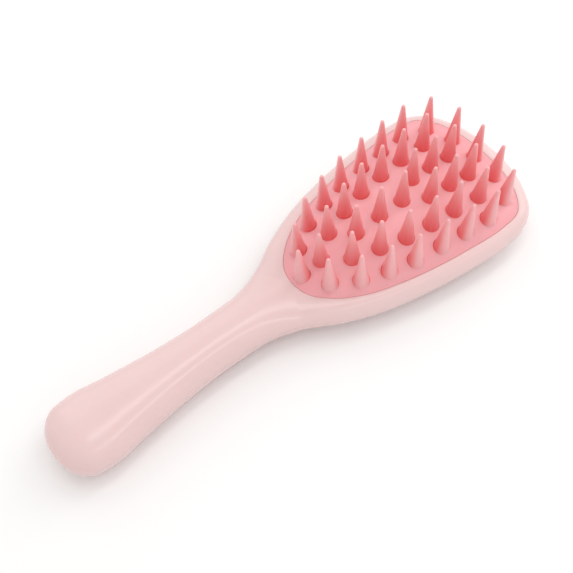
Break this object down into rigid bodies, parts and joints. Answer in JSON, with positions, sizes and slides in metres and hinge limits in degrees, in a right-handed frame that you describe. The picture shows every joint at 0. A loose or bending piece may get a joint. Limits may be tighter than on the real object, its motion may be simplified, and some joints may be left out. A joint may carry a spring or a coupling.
{
  "type": "scalp massager brush",
  "caption": "Hand-held scalp massager with a hollow two-shell handle and head, and a lift-out domed soft pad of tapered cones.",
  "frame": {"origin": "on the resting plane, under the middle of the overall box", "axes": "+X from the butt to the head end, +Y across the brush, +Z from the back to the cone tips; it lies on its back"},
  "size_m": [0.19, 0.066, 0.0356],
  "materials": {
    "shell_plastic": "smooth semi-gloss moulded plastic",
    "carrier_plastic": "plain moulded plastic",
    "pad_silicone": "soft satin translucent silicone"
  },
  "bodies": {
    "body": {"front_shell": "shell_plastic", "back_shell": "shell_plastic"},
    "pad": {"massage_pad": "pad_silicone", "pad_carrier": "carrier_plastic"}
  },
  "joints": [
    {"name": "pad_release", "type": "slide", "parent": "body", "child": "pad", "axis": [0, 0, 1], "range_m": [0, 0.02]}
  ]
}
